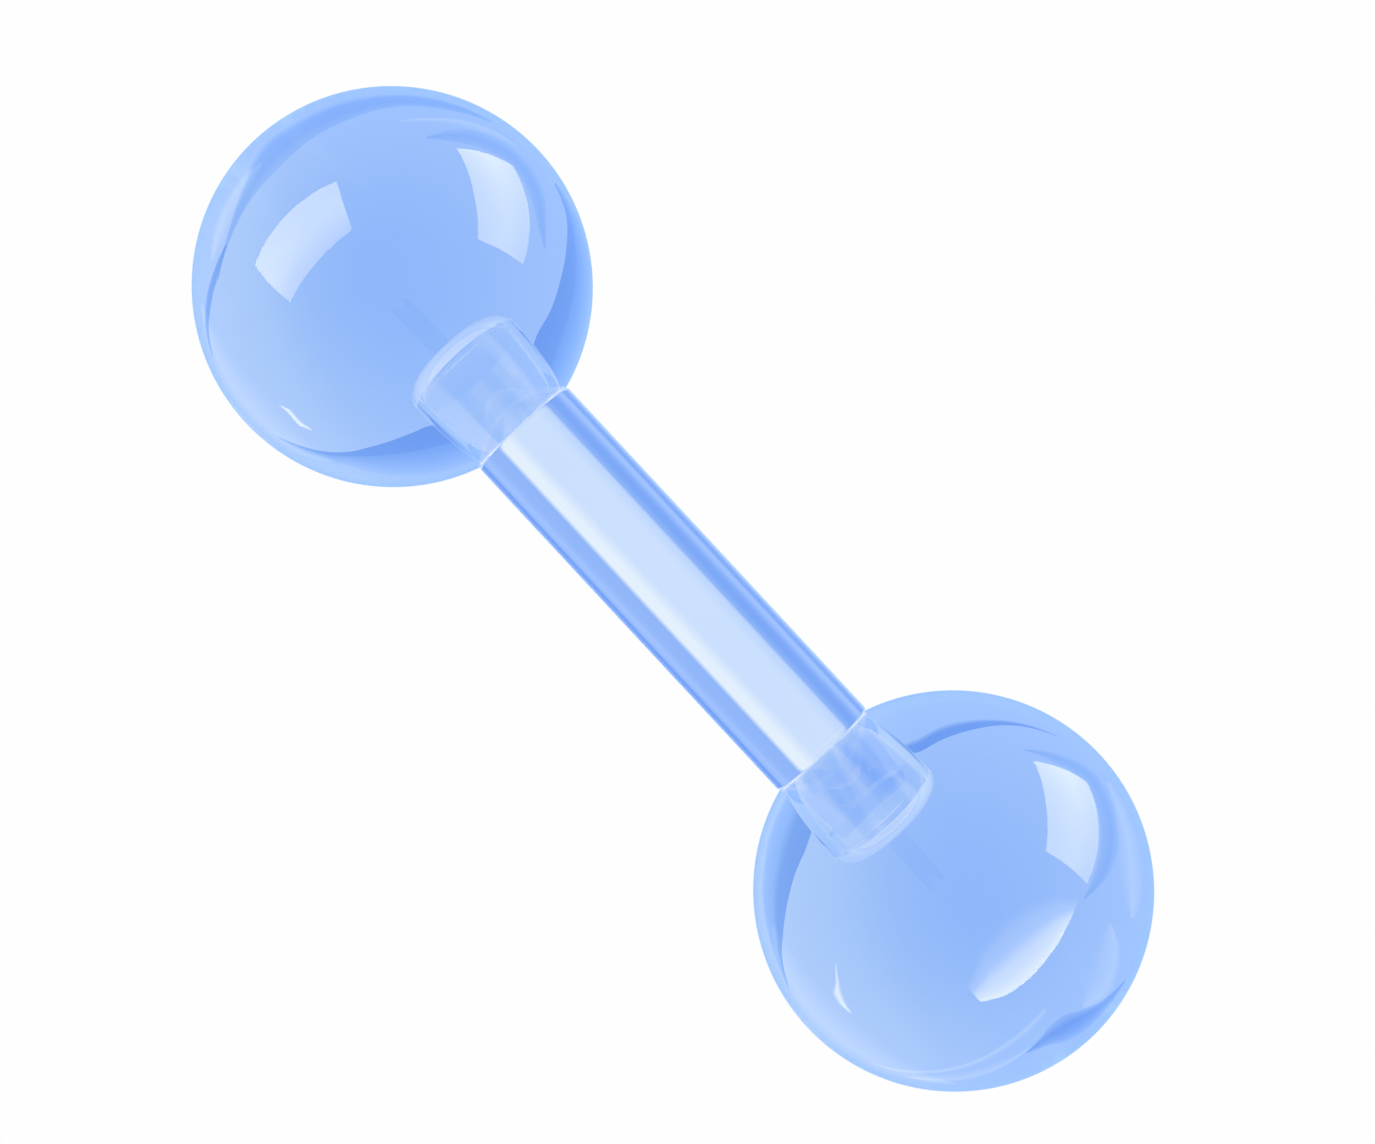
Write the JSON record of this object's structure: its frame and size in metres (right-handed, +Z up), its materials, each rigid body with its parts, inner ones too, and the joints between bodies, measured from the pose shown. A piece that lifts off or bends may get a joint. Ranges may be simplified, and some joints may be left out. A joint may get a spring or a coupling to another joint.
{
  "type": "cartilage barbell",
  "caption": "Straight clear-blue acrylic barbell for a cartilage piercing: a smooth round bar with a push-on ball at each end.",
  "frame": {"origin": "on the ground under the middle of the bar, where the part lies on its two balls", "axes": "+X along the bar from the left ball to the right ball, +Y across it, +Z up"},
  "size_m": [0.0122, 0.004, 0.004],
  "materials": {
    "bar_acrylic": "polished clear pale-blue acrylic",
    "ball_acrylic": "polished clear pale-blue acrylic"
  },
  "bodies": {
    "bar": {"bar": "bar_acrylic"},
    "ball_left": {"ball_left": "ball_acrylic"},
    "ball_right": {"ball_right": "ball_acrylic"}
  },
  "joints": [
    {"name": "ball_left_pull", "type": "slide", "parent": "bar", "child": "ball_left", "axis": [-1, 0, 0], "range_m": [0, 0.006]},
    {"name": "ball_right_pull", "type": "slide", "parent": "bar", "child": "ball_right", "axis": [1, 0, 0], "range_m": [0, 0.006]}
  ]
}
